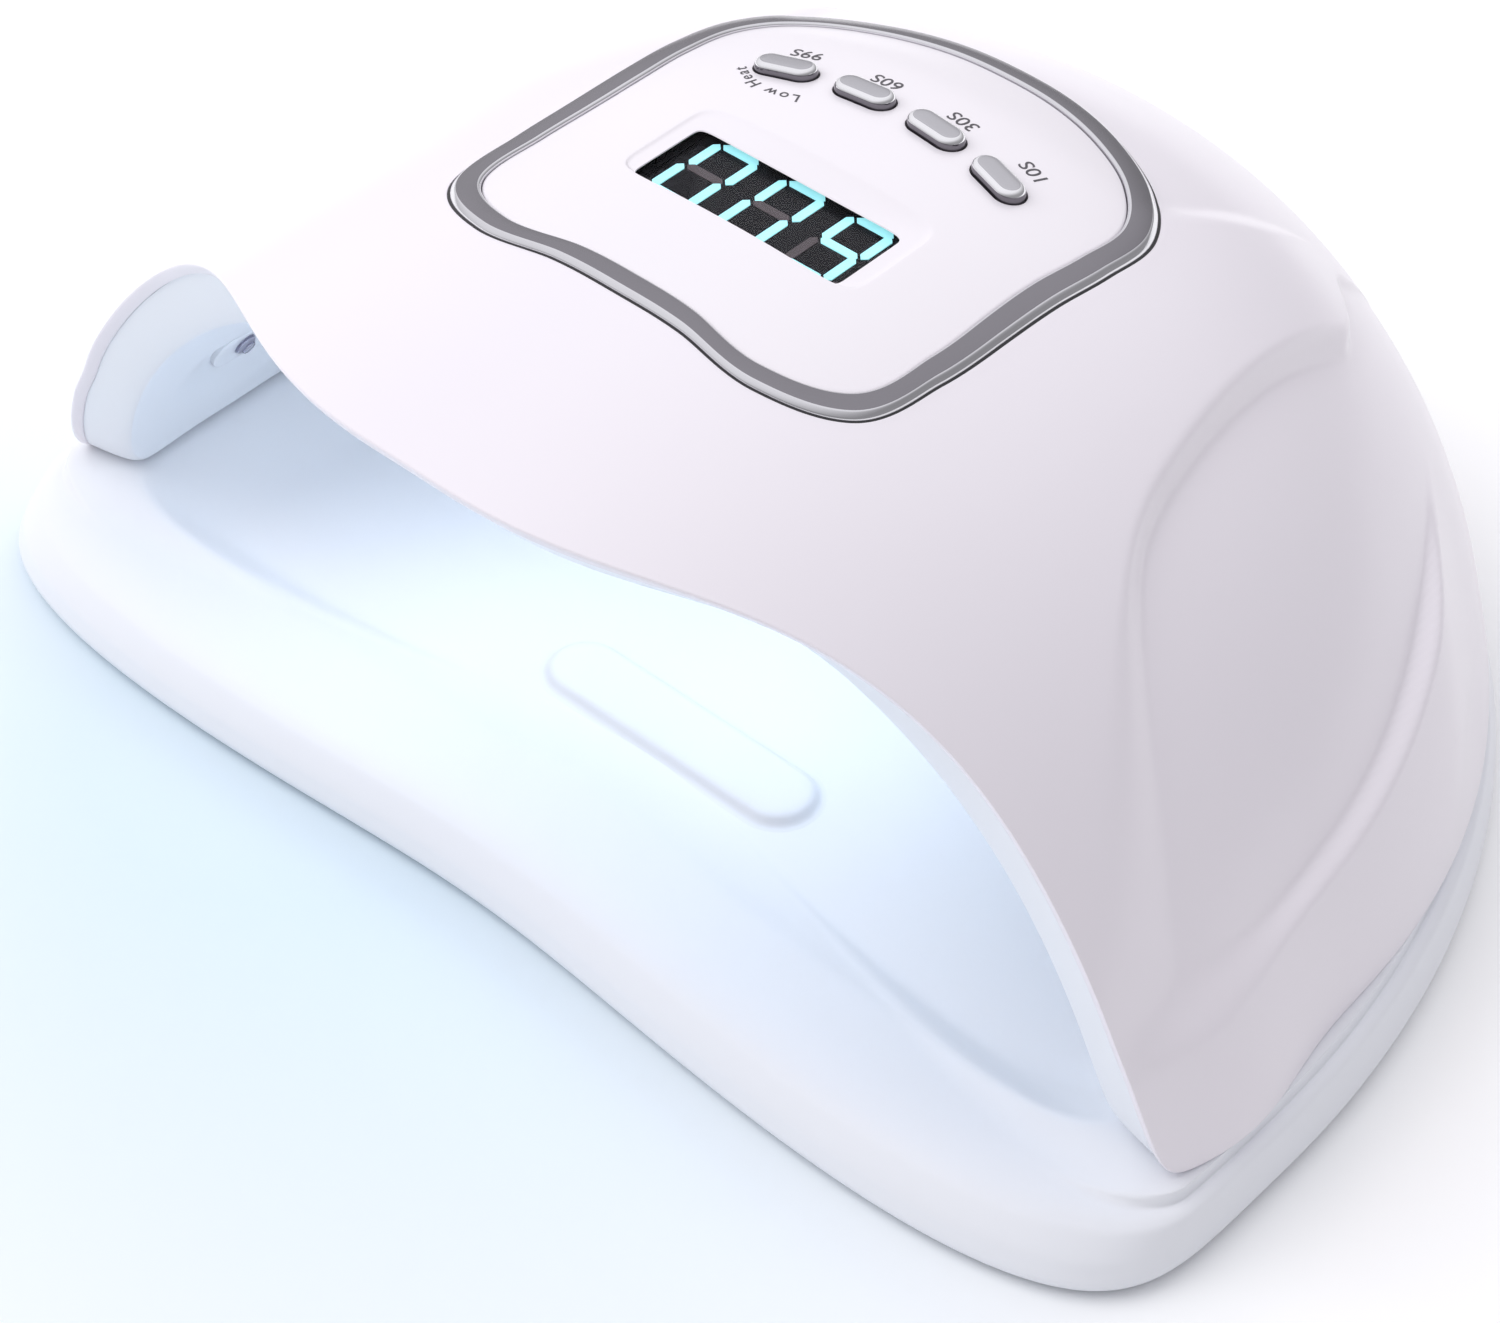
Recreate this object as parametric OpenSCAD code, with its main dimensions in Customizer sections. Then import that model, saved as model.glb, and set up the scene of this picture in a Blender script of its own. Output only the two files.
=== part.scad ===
// Desktop curing lamp: a domed hood with a hand-sized mouth that lifts off a dished tray.
// Frame: +Z up, mouth faces -Y, +X to the right, origin on the table at the centre of the footprint.

/* [Hood] */
// Half width of the hood at its rim
hood_half_w = 110.5; // [109:0.5:111]
// Length of the hood behind its widest line
hood_back = 111; // [109:1:112]
// Nominal length of the dome in front of its widest line, beyond the mouth cut
hood_front = 178; // [172:1:184]
// Height of the top of the hood above the table
hood_top = 95.5; // [94:0.5:97]
// Wall of the hood shell
hood_wall = 2.2; // [1.8:0.1:2.6]
// Depth of the concave dish on each side
dish_depth = 3; // [1:0.5:4]

/* [Tray] */
// Half width of the tray
tray_half_w = 117.5; // [115:0.5:119]
// Length of the tray behind its widest line
tray_back = 138; // [136:1:141]
// Length of the tray in front of its widest line
tray_front = 43.5; // [42:0.5:46]
// Height of the land that the hood rests on
rim_z = 12; // [11:0.5:13]
// Height of the tray floor
floor_z = 5; // [4.5:0.5:6]

/* [Liner] */
// Half width of the cavity
liner_half_w = 101; // [99:0.5:101]
// Height of the cavity ceiling above the table
liner_top = 69; // [64:1:70]
// Wall of the liner
liner_wall = 1.6; // [1.4:0.1:1.8]

/* [Controls] */
// Width of the bright trim ring
ring_w = 4.5; // [4:0.25:5]
// Length of a button cap
button_l = 9.6; // [9:0.1:10.5]
// Width of a button cap
button_w = 4.6; // [4:0.1:5]
// Inward travel of a button
button_travel = 0.5; // [0.25:0.05:0.6]
// Running gap round a button
button_gap = 0.25; // [0.15:0.05:0.3]

/* [Power inlet] */
// Height of the inlet above the table
jack_z = 25; // [23:1:28]
// Bore that takes the plug
jack_bore = 5.6; // [5.5:0.1:5.8]

/* [Hidden] */
$fn = 48;

WHITE = [0.93, 0.91, 0.94];
SATIN = [0.86, 0.86, 0.90];
CHROME = [0.72, 0.72, 0.75];
BLACK = [0.10, 0.10, 0.11];
CYAN = [0.62, 0.92, 0.94];
BOARD = [0.10, 0.34, 0.22];
BRASS = [0.80, 0.66, 0.34];
STEEL = [0.62, 0.63, 0.66];
RUBBER = [0.20, 0.20, 0.21];
LENS = [0.75, 0.72, 0.95];

// ---- small helpers ------------------------------------------------------------------
function mix(a, b, w) = a * (1 - w) + b * w;
function clamp(x) = max(0, min(1, x));
function ease(a, b, x) = let(w = clamp((x - a) / (b - a))) w * w * (3 - 2 * w);
function cubic(a, b, c, d, w) =
    b + 0.5 * w * (c - a + w * (2 * a - 5 * b + 4 * c - d + w * (3 * (b - c) + d - a)));

// Closed skin over rows of points that each run once round; ends are closed by a fan,
// or the last row joins the first when ends is false.
module skin(rows, ends = true) {
    n = len(rows[0]);
    m = len(rows);
    points = concat([for (r = rows, p = r) p],
        ends ? [centre_of(rows[0]), centre_of(rows[m - 1])] : []);
    walls = [for (j = [0:(ends ? m - 2 : m - 1)], i = [0:n - 1])
        let(k = (j + 1) % m, a = j * n + i, b = j * n + (i + 1) % n,
            c = k * n + (i + 1) % n, d = k * n + i)
        each [[a, b, c], [a, c, d]]];
    caps = ends ? [for (i = [0:n - 1]) each [[m * n, (i + 1) % n, i],
        [m * n + 1, (m - 1) * n + i, (m - 1) * n + (i + 1) % n]]] : [];
    polyhedron(points, concat(walls, caps), convexity = 8);
}
function centre_of(row) = [for (k = [0:2]) [for (p = row) p[k]] * [for (p = row) 1] / len(row)];

// ---- hood surface -------------------------------------------------------------------
// Hood and liner are leaning domes. A point on a dome is named by a place (u, v) on a unit
// disk: the middle of the disk is the top of the dome and its edge is the rim.
// A dome's sizes are [half width, length in front, length behind, top].
DOME_Y = -22.9;
LEAN = 10.7;
HOOD = [hood_half_w, hood_front, hood_back, hood_top];
LINER = [liner_half_w, 168, 92, liner_top];
ALL = [1, 1, 1, 1];

function dome_r(a, s) =
    let(n = sin(a) < 0 ? 2.4 : 2, len_y = sin(a) < 0 ? s[1] : s[2])
    pow(pow(abs(cos(a)) / s[0], n) + pow(abs(sin(a)) / len_y, n), -1 / n);
function dome_h(rho) = pow(max(0, 1 - pow(rho, 2.3)), 0.61);
function dome(p, s) =
    let(a = atan2(p[1], p[0]), rho = sin(90 * norm(p)), h = dome_h(rho), r = dome_r(a, s) * rho)
    [r * cos(a), DOME_Y + LEAN * h + r * sin(a), rim_z + (s[3] - rim_z) * h];

// Disk place of the dome point over plan point (x, y), found by stepping the height
function disk_at(x, y, s, h = 0.9, n = 7) =
    let(dy = y - DOME_Y - LEAN * h, a = atan2(dy, x), rho = min(1, norm([x, dy]) / dome_r(a, s)))
    n == 0 ? asin(rho) / 90 * [cos(a), sin(a)] : disk_at(x, y, s, dome_h(rho), n - 1);

// Depth of the side dish, with the lower back behind the shoulder of the front band
function crease_in(v) = 0.405 - 0.27 * v + (v < 0 ? 1.6 : 0.55) * v * v;
function crease_out(v) = 0.788 - 1.02 * pow(v + 0.09, 2);
function dish(u, v) =
    let(a = abs(u), soft = mix(0.026, 0.20, ease(0.05, 0.3, -v)), tip = ease(0.34, 0.46, v),
        start = mix(crease_in(v), 0.30, tip), inner = ease(start - 0.005, start + soft, a),
        edge = crease_out(v), blur = 0.022 * (1 - ease(-0.2, 0.02, v)),
        outer = ease(edge - 0.012 - blur, edge + 0.02 + blur, a) * (1 - ease(0.25, 0.45, v)),
        rear = ease(0.17, 0.26, v) * (1 - ease(-0.02, 0.01, a - 0.155 - 0.297 * v)),
        depth = mix(0.7, 1, ease(-0.25, 0.3, v)) * mix(1, 0.35, ease(0.25, 0.6, v)) * dish_depth)
    max(depth * inner * (1 - outer), 0.3 * dish_depth * max(rear, tip)) * (1 - ease(0.86, 1, norm([u, v])));

// Point of the hood at a disk place, d below its outside
function hood(p, d = 0) =
    let(a = dome(p, HOOD - d * ALL), b = dome(p, HOOD - (d + 1) * ALL), low = pow((a.z - rim_z) / 22, 2),
        lift = 3.8 * exp(-pow(a.x / 80, 4)) * ease(-20, -78, a.y),
        flare = 4.3 * exp(-pow((a.y + 50) / 17, 2) - low))
    a + dish(p[0], p[1]) * (b - a) / norm(b - a) + [sign(a.x) * flare, 0, lift];
// Point at a plan place and a depth below the outside of the hood
function under(xy, depth) = [xy[0], xy[1], hood(disk_at(xy[0], xy[1], HOOD)).z - depth];

// Point of the liner at a disk place, d outside the cavity; the ceiling flares at the mouth
function liner(p, d = 0) = dome(p, LINER + d * ALL + [0, 0, 0, 14 * ease(-0.12, -0.27, p[1])]);
function liner_z(x, y) = liner(disk_at(x, y, LINER)).z;
// Stands children on the right side of the liner, with their Z pointing out of the cavity
module on_liner(at) { translate([at[0], at[1], at[2]]) rotate([0, at[3], 0]) children(); }

// The mouth is a chord across the front of the disk, rounded into the rim at the feet
LIP = 0.29;
function liner_lip(a) = mix(0.268, 0.305, ease(0.6, 0.93, abs(cos(a))));
function cut_at(a, chord) =
    sin(a) >= 0 ? [cos(a), sin(a)]
    : pow(1 + pow(-sin(a) / (chord + 0.4 * pow(abs(cos(a)), 24)), 15), -1 / 15) * [cos(a), sin(a)];
// Angles round the disk, close together along the mouth and near the feet
function edge_angles(front_n, back_n) =
    concat([for (i = [0:front_n - 1]) atan2(-0.26, 0.97 * (2 * i / front_n - 1))],
        [for (i = [0:back_n - 1]) -15 + 210 * i / back_n]);

// ---- trim ring outline ---------------------------------------------------------------
// Radius of the ring about RING_Y at every 15 degrees from its front to its back
RING_Y = -8;
RING = [43.2, 44.9, 51.2, 53.4, 46.6, 42.1, 40.8, 42.6, 46, 46.2, 44.9, 43.7, 42.9];
function ring_at(i) = let(k = len(RING) - 1, j = abs(i)) RING[j > k ? 2 * k - j : j];
function ring_r(a) =
    let(w = abs((a + 630) % 360 - 180) / 15, i = floor(w))
    cubic(ring_at(i - 1), ring_at(i), ring_at(i + 1), ring_at(i + 2), w - i);
function ring_xy(a, inset = 0) = let(r = ring_r(a) - inset) [r * cos(a), RING_Y + r * sin(a)];

// ---- hood shell -----------------------------------------------------------------------
SEAT = 3.1;
JACK_Y = DOME_Y + hood_back - 1.4;
module hood_shell() {
    angles = edge_angles(44, 60);
    outer_rows = 20;
    inner_rows = 9;
    function span(a, d, w) =
        let(xy = ring_xy(a, d > 0 ? -2.5 : -0.3), from = disk_at(xy[0], xy[1], HOOD - d * ALL))
        hood(mix(from, cut_at(a, LIP), w), d);
    function seat(inset, depth) = [for (a = angles) under(ring_xy(a, inset), depth)];
    rows = concat(
        [for (j = [0:outer_rows]) [for (a = angles) span(a, 0, j / outer_rows)]],
        [for (j = [inner_rows:-1:0]) [for (a = angles) span(a, hood_wall, j / inner_rows)]],
        [seat(-2.5, SEAT + 1.6), seat(ring_w + 2.5, SEAT + 1.6), seat(ring_w + 2.5, SEAT), seat(-0.3, SEAT)]);
    color(WHITE) difference() {
        skin(rows, ends = false);
        inlet(0) cylinder(d = 15, h = 20);
        inlet(-10) cylinder(d = 8.2, h = 20);
    }
}
// Places children on the inlet axis, y behind its flat seat, with their Z pointing out of the hood
module inlet(y) { translate([0, JACK_Y + y, jack_z]) rotate([-90, 0, 0]) children(); }

// ---- liner ----------------------------------------------------------------------------
TOP_BEADS = [for (x = [-15, 15], y = [-38, -18, 2, 22]) [x, y]];
// Places on the liner: [x, y, z, tilt of the outward direction from upright]
SHOULDER = [66.8, -12, 54, 30];
SHOULDER_BEADS = [-22, -6, 10, 26];
CUP = [96, -38, 25, 66];
CUP_L = 26;
CUP_W = 14;
SENSOR = [0, -64];
BEAD_R = 2.5;
module pill(l, w, h) {
    translate([-(l - w) / 2, -w / 2, 0]) cube([l - w, w, h]);
    for (s = [-1, 1]) translate([s * (l - w) / 2, 0, 0]) cylinder(d = w, h = h);
}
// Brim point between the liner's edge and the inside of the hood
function brim(a, back, w) =
    let(edge = cut_at(a, liner_lip(a)), wall = cut_at(a, LIP), set_in = 0.02 * (1 - ease(0.93, 1, norm(wall))))
    mix(liner(edge * (1 - 0.031 * back), liner_wall * back),
        hood(wall * (1 - set_in - 0.022 * back), hood_wall + 0.2), w);
module inner_liner() {
    angles = edge_angles(36, 44);
    function cap_row(w, back) =
        [for (a = angles) liner(cut_at(a, liner_lip(a)) * (1 - 0.031 * back) * w, liner_wall * back)];
    function brim_row(w, back) = [for (a = angles) brim(a, back, w)];
    rows = concat(
        [for (j = [1:8]) cap_row(sqrt(j / 8.5), 1)],
        [for (w = [0, 0.35, 0.7, 1]) brim_row(w, 1)],
        [for (w = [1, 0.7, 0.35, 0]) brim_row(w, 0)],
        [for (j = [9:-1:1]) cap_row(sqrt(j / 9.5), 0)]);
    color(SATIN) difference() {
        skin(rows);
        for (p = concat(TOP_BEADS, [SENSOR])) translate([p[0], p[1], liner_top - 25]) cylinder(r = BEAD_R + 0.15, h = 40);
        for (s = [0, 1]) mirror([s, 0, 0]) {
            on_liner(SHOULDER) for (y = SHOULDER_BEADS) translate([0, y, -14]) cylinder(r = BEAD_R + 0.15, h = 20);
            on_liner(CUP) rotate(90) translate([0, 0, -8]) pill(CUP_L + 0.3, CUP_W + 0.3, 16);
        }
        for (a = SCREWS) translate(rim_point(a)) {
            translate([0, 0, -1]) cylinder(r = 1.7, h = 4);
            translate([0, 0, -0.05]) cylinder(r1 = 2.95, r2 = 1.6, h = 1.35);
        }
    }
}
// Middle of the brim's flat underside at angle a
SCREWS = [-8, 188, 36, 144];
MAGNETS = [12, 168, 66, 114];
function rim_point(a) =
    let(r = (dome_r(a, LINER) + liner_wall + dome_r(a, HOOD) - hood_wall) / 2)
    [r * cos(a), DOME_Y + r * sin(a), rim_z];

// ---- trim ring and control panel --------------------------------------------------------
module chrome_ring() {
    angles = [for (i = [0:71]) 5 * i];
    // Section: [inset from the outline, height above the hood], once round
    section = [[ring_w - 0.1, -3], [ring_w - 0.1, 0.3], [ring_w - 1, 1.1], [0.9, 1.1], [0, 0.2], [0, -3]];
    color(CHROME)
        skin([for (q = section) [for (a = angles) under(ring_xy(a, q[0]), -q[1])]], ends = false);
}

// Buttons: [x, y, turn of the long axis], on an arc behind the display
BUTTONS = [[20, 4.8, -15], [6.7, 6.9, -5], [-6.7, 6.9, 5], [-20, 4.8, 15]];
DISPLAY_Y = -20.5;
WINDOW_Z = 93.9;
WINDOW = [40.4, 19.4, 1.5];
function panel_z(x, y) = under([x, y], 0).z;
module control_panel() {
    angles = [for (i = [0:59]) 6 * i];
    function row(w, depth) = [for (a = angles)
        under([0, RING_Y * (1 - w)] + w * ring_xy(a, ring_w), depth)];
    rows = concat([for (w = [0.25, 0.5, 0.7, 0.85, 0.985]) row(w, 0)], [row(0.997, 0.4)],
        [for (w = [0.997, 0.65, 0.3]) row(w, 3)]);
    color(WHITE) difference() {
        skin(rows);
        hull() {
            translate([-22, -29.2, 95.7]) cube([44, 19.9, 1.5]);
            translate([-19.1, -28.8, WINDOW_Z - 0.5]) cube([38.2, 14.6, 0.5]);
        }
        translate([-19.1, -28.8, WINDOW_Z - 2]) cube([38.2, 14.6, 3]);
        translate([-WINDOW.x / 2 - 0.1, DISPLAY_Y - WINDOW.y / 2 - 0.1, 80])
            cube([WINDOW.x + 0.2, WINDOW.y + 0.2, WINDOW_Z + 0.05 - 80]);
        for (b = BUTTONS) translate([b[0], b[1], 80]) rotate(b[2])
            pill(button_l + 2 * button_gap, button_w + 2 * button_gap, 20);
    }
}

// ---- display --------------------------------------------------------------------------
MODULE = [37.6, 19, 8.9];
module display_window() {
    color([0.13, 0.12, 0.13])
        translate([-WINDOW.x / 2, DISPLAY_Y - WINDOW.y / 2, WINDOW_Z - WINDOW.z]) cube(WINDOW);
}
MODULE_TOP = WINDOW_Z - WINDOW.z - 0.25;
module display_module() {
    color(BLACK) translate([-MODULE.x / 2, DISPLAY_Y - MODULE.y / 2, MODULE_TOP - MODULE.z]) cube(MODULE);
}
DIGIT = [7, 13.6];
SEGMENT_W = 1.5;
// Seven segments in the order a to g: [place along x, place along y, upright?]
SEGMENTS = [[0, 1, false], [1, 0.5, true], [1, -0.5, true], [0, -1, false], [-1, -0.5, true],
    [-1, 0.5, true], [0, 0, false]];
NINE = [0, 1, 2, 3, 5, 6];
ZERO = [0, 1, 2, 3, 4, 5];
SHOWN = [ZERO, ZERO, NINE];
module segment(i) {
    q = SEGMENTS[i];
    half = (q[2] ? DIGIT.y / 2 : DIGIT.x) / 2 - 0.14;
    x = q[0] * DIGIT.x / 2;
    y = q[1] * DIGIT.y / 2;
    w = SEGMENT_W / 2;
    bar = [[-half, 0], [w - half, w], [half - w, w], [half, 0], [half - w, -w], [w - half, -w]];
    // each digit leans to the right by a tenth
    translate([x, y]) multmatrix([[1, 0.1, 0, 0.1 * y], [0, 1, 0, 0], [0, 0, 1, 0]])
        linear_extrude(0.15) polygon([for (p = bar) q[2] ? [p[1] + 0.1 * p[0], -p[0]] : [p[0], p[1]]]);
}
module digits(lit) {
    for (k = [0:2]) translate([12.6 * (k - 1), DISPLAY_Y, MODULE_TOP]) for (i = [0:6])
        if ((len(search(i, SHOWN[k])) > 0) == lit) segment(i);
}
module segments_lit() { color(CYAN) digits(true); }
module segments_dark() {
    color([0.30, 0.27, 0.27]) {
        digits(false);
        for (k = [0:2]) translate([12.6 * (k - 1) + 5, DISPLAY_Y - 6.6, MODULE_TOP]) cylinder(r = 0.7, h = 0.15);
    }
}

// ---- control board --------------------------------------------------------------------
BOARD_T = 1.6;
BOARD_TOP = MODULE_TOP - MODULE.z;
BOARD_HOLES = [[-28, -35], [28, -35], [-30, 7.5], [30, 7.5]];
module plate(x0, x1, y0, y1, z, t) { translate([x0, y0, z]) cube([x1 - x0, y1 - y0, t]); }
module control_board() {
    color(BOARD) difference() {
        plate(-33, 33, -39.5, 11.5, BOARD_TOP - BOARD_T, BOARD_T);
        for (p = BOARD_HOLES) translate([p[0], p[1], BOARD_TOP - 5]) cylinder(r = 1.35, h = 10);
    }
}
module board_standoffs() {
    color(BRASS) for (p = BOARD_HOLES) translate([p[0], p[1], BOARD_TOP]) difference() {
        cylinder(r = 2.5, h = panel_z(p[0], p[1]) - 3.9 - BOARD_TOP);
        translate([0, 0, -1]) cylinder(r = 1.25, h = 4);
    }
}
module board_screws() {
    color(STEEL) for (p = BOARD_HOLES) translate([p[0], p[1], BOARD_TOP - BOARD_T]) {
        translate([0, 0, -1.5]) cylinder(r = 2.3, h = 1.5);
        cylinder(r = 1.2, h = BOARD_T + 2.6);
    }
}
module board_chips() {
    z = BOARD_TOP - BOARD_T;
    color(BLACK) {
        plate(-17, -7, -12, -2, z - 1.4, 1.4);
        plate(4, 9, -30, -26, z - 1.6, 1.6);
        plate(-26, -21, -30, -26, z - 1.6, 1.6);
    }
    color([0.92, 0.9, 0.84]) plate(-9, 9, 5.5, 10.5, z - 4, 4);
}
module buzzer() {
    color(BLACK) translate([20, -16, BOARD_TOP - BOARD_T - 5]) difference() {
        cylinder(r = 4.5, h = 5);
        translate([0, 0, -1]) cylinder(r = 1, h = 3);
    }
}

// ---- buttons and their switches ---------------------------------------------------------
SWITCH_H = 3.5;
STEM_R = 1.7;
module switch_bodies() {
    color(BLACK) for (b = BUTTONS) translate([b[0], b[1], BOARD_TOP]) difference() {
        translate([-3, -3, 0]) cube([6, 6, SWITCH_H]);
        translate([0, 0, 1]) cylinder(r = STEM_R + 0.05, h = SWITCH_H);
    }
}
// Height of the button's flange, clear under the panel
function flange_z(b) = panel_z(b[0], b[1]) - 5.2;
module button(b) {
    top = panel_z(b[0], b[1]);
    slope = [(panel_z(b[0] + 1, b[1]) - top), (panel_z(b[0], b[1] + 1) - top)];
    module slice(z, inset) {
        translate([b[0], b[1], top + z]) rotate([atan(slope.y), -atan(slope.x), b[2]])
            pill(button_l - 2 * inset, button_w - 2 * inset, 0.05, $fn = 24);
    }
    color(CHROME) {
        translate([b[0], b[1], flange_z(b)]) rotate(b[2]) {
            pill(button_l + 1.6, button_w + 1.6, 0.9);
            pill(button_l, button_w, 3.6);
        }
        hull() {
            translate([b[0], b[1], flange_z(b) + 1.5]) rotate(b[2])
                pill(button_l - 0.2, button_w - 0.2, 0.2, $fn = 24);
            slice(0.25, 0.1);
            slice(1.1, 1);
        }
    }
}
module plunger(b) {
    color([0.9, 0.88, 0.86]) translate([b[0], b[1], BOARD_TOP + 2.2])
        cylinder(r = STEM_R, h = flange_z(b) - BOARD_TOP - 2.2);
}
module button_10s() { button(BUTTONS[0]); }
module button_30s() { button(BUTTONS[1]); }
module button_60s() { button(BUTTONS[2]); }
module button_99s() { button(BUTTONS[3]); }
module plunger_10s() { plunger(BUTTONS[0]); }
module plunger_30s() { plunger(BUTTONS[1]); }
module plunger_60s() { plunger(BUTTONS[2]); }
module plunger_99s() { plunger(BUTTONS[3]); }

// ---- lamps ----------------------------------------------------------------------------
TOP_BOARD_Z = liner_top + liner_wall + 1.6;
module led_board_top() {
    color([0.86, 0.86, 0.82]) difference() {
        plate(-22, 22, -44, 29, TOP_BOARD_Z, 1.2);
        for (p = TOP_POSTS) translate([p[0], p[1], TOP_BOARD_Z - 1]) cylinder(r = 1.3, h = 4);
    }
}
TOP_POSTS = [[-18, -28], [18, -28], [-18, 12], [18, 12]];
module top_standoffs() {
    color(BRASS) for (p = TOP_POSTS) {
        z = liner_z(p[0], p[1]) + liner_wall + 0.75;
        translate([p[0], p[1], z]) cylinder(r = 2.2, h = TOP_BOARD_Z - z);
        translate([p[0], p[1], TOP_BOARD_Z]) cylinder(r = 1.2, h = 1.2);
    }
}
// One lamp: a straight lens tube with a round nose, from nose height z0 up to height z1
module bead(z0, z1) {
    translate([0, 0, z0 + BEAD_R]) {
        sphere(r = BEAD_R);
        cylinder(r = BEAD_R, h = z1 - z0 - BEAD_R);
    }
}
module led_beads_top() {
    color(LENS) for (p = TOP_BEADS) translate([p[0], p[1], 0]) bead(liner_z(p[0], p[1]) - 1.6, TOP_BOARD_Z);
}
SHOULDER_BOARD = 4.2;
module side_boards() {
    color([0.86, 0.86, 0.82]) {
        on_liner(SHOULDER) translate([-6, -28, SHOULDER_BOARD]) cube([12, 60, 1.2]);
        on_liner(CUP) rotate(90) translate([0, 0, CUP_DEPTH]) pill(CUP_L - 3, CUP_W - 3, 1);
    }
}
module led_board_right() { side_boards(); }
module led_board_left() { mirror([1, 0, 0]) side_boards(); }
CUP_DEPTH = 3.6;
module led_cup() {
    color(WHITE) on_liner(CUP) rotate(90) difference() {
        translate([0, 0, -0.8]) pill(CUP_L, CUP_W, CUP_DEPTH + 0.8);
        translate([0, 0, -1]) pill(CUP_L - 2.4, CUP_W - 2.4, CUP_DEPTH + 0.1);
        cylinder(r = 2.05, h = 10);
    }
}
module led_cup_right() { led_cup(); }
module led_cup_left() { mirror([1, 0, 0]) led_cup(); }
module side_beads() {
    color(LENS) {
        on_liner(SHOULDER) for (y = SHOULDER_BEADS) {
            drop = (liner_z(SHOULDER[0], SHOULDER[1] + y) - SHOULDER[2]) * cos(SHOULDER[3]);
            translate([0, y, 0]) bead(drop - 1.6, SHOULDER_BOARD);
        }
        on_liner(CUP) translate([0, 0, CUP_DEPTH - 2.4]) {
            cylinder(r1 = 1.2, r2 = 1.9, h = 0.7);
            translate([0, 0, 0.7]) cylinder(r = 1.9, h = 1.7);
        }
    }
}
module led_beads_right() { side_beads(); }
module led_beads_left() { mirror([1, 0, 0]) side_beads(); }
module sensor_eye() {
    color([0.12, 0.08, 0.10]) translate([SENSOR[0], SENSOR[1], 0])
        bead(liner_z(SENSOR[0], SENSOR[1]) - 1.2, liner_z(SENSOR[0], SENSOR[1]) + 6);
}

// ---- driver and power inlet -------------------------------------------------------------
DRIVER_Z = 66;
module driver_board() { color(BOARD) plate(-24, 24, 36, 56, DRIVER_Z, BOARD_T); }
module driver_standoffs() {
    color(BRASS) for (x = [-20, 20], y = [40, 54]) {
        z = liner_z(x, y) + liner_wall + 2.3;
        translate([x, y, z]) cylinder(r = 1.8, h = DRIVER_Z - z);
    }
}
module driver_chokes() {
    color([0.30, 0.30, 0.32]) for (x = [-15, 0, 15]) translate([x, 42, DRIVER_Z + BOARD_T]) difference() {
        cylinder(r = 4, h = 4.5);
        translate([0, 0, 3.7]) cylinder(r = 1.2, h = 2);
    }
}
module driver_capacitors() {
    color([0.16, 0.17, 0.22]) for (x = [-8, 8]) translate([x, 50, DRIVER_Z + BOARD_T]) cylinder(r = 2.5, h = 5.5);
}
JACK_L = 12;
module dc_jack() {
    color(BLACK) difference() {
        union() {
            inlet(0.02) cylinder(d = 13.4, h = 1.4);
            inlet(-JACK_L) cylinder(d = 8, h = JACK_L + 0.5);
        }
        inlet(-9.5) cylinder(d = jack_bore, h = 20);
    }
}
module dc_jack_pin() { color(BRASS) inlet(-9.5) cylinder(d = 2.1, h = 9); }
module dc_jack_nut() {
    color(STEEL) difference() {
        inlet(-7.4) cylinder(d = 11.5, h = 2.4, $fn = 6);
        inlet(-8) cylinder(d = 8.05, h = 4);
    }
}

// ---- fasteners and magnets --------------------------------------------------------------
POST_Z = rim_z + liner_wall + 0.05;
module screw_posts() {
    color(WHITE) for (a = SCREWS) translate(rim_point(a)) translate([0, 0, POST_Z - rim_z]) difference() {
        cylinder(r = 2.6, h = 5);
        translate([0, 0, -1]) cylinder(r = 1.5, h = 5.2);
    }
}
module liner_screws() {
    color(STEEL) for (a = SCREWS) translate(rim_point(a)) {
        translate([0, 0, 0.1]) cylinder(r1 = 2.75, r2 = 1.5, h = 1.25);
        cylinder(r = 1.45, h = 5.4);
    }
}
module hood_magnets() {
    color(STEEL) for (a = MAGNETS) translate(rim_point(a)) translate([0, 0, POST_Z - rim_z]) cylinder(r = 2.5, h = 2);
}

// ---- wiring -----------------------------------------------------------------------------
module wire(path, r) {
    for (i = [0:len(path) - 2]) {
        a = path[i];
        d = path[i + 1] - a;
        translate(a) rotate([0, acos(d.z / norm(d)), atan2(d.y, d.x)]) cylinder(r = r, h = norm(d), $fn = 20);
        if (i > 0) translate(a) sphere(r = r * 1.06, $fn = 20);
    }
}
// Flat cable 9 wide along a path of [y, z] places
module ribbon(path) {
    rotate([90, 0, 90]) translate([0, 0, -4.5]) linear_extrude(9)
        polygon([for (p = path) p + [0, 0.45], for (i = [len(path) - 1:-1:0]) path[i] - [0.5, 0.45]]);
}
module ribbon_cable() {
    z = BOARD_TOP - BOARD_T - 2;
    color([0.7, 0.7, 0.72])
        ribbon([[11.2, z], [27, z], [34.5, DRIVER_Z + 6], [37.2, DRIVER_Z + 6], [37.2, DRIVER_Z + BOARD_T + 0.5]]);
}
module inlet_wires() {
    color([0.6, 0.1, 0.1]) for (k = [-1, 1])
        wire([[2 * k, JACK_Y - JACK_L - 0.8, jack_z + 1.5], [4 * k, JACK_Y - 13.5, jack_z + 12],
            [6 * k, 66, 52], [12 * k, 57, 60], [12 * k, 54, DRIVER_Z - 0.5]], 0.7);
}
module side_wires() {
    color([0.85, 0.85, 0.87]) for (s = [-1, 1])
        wire([[s * 22.1, 25, TOP_BOARD_Z + 2], [s * 66.6, 14, 61.8]], 0.7);
}

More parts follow.
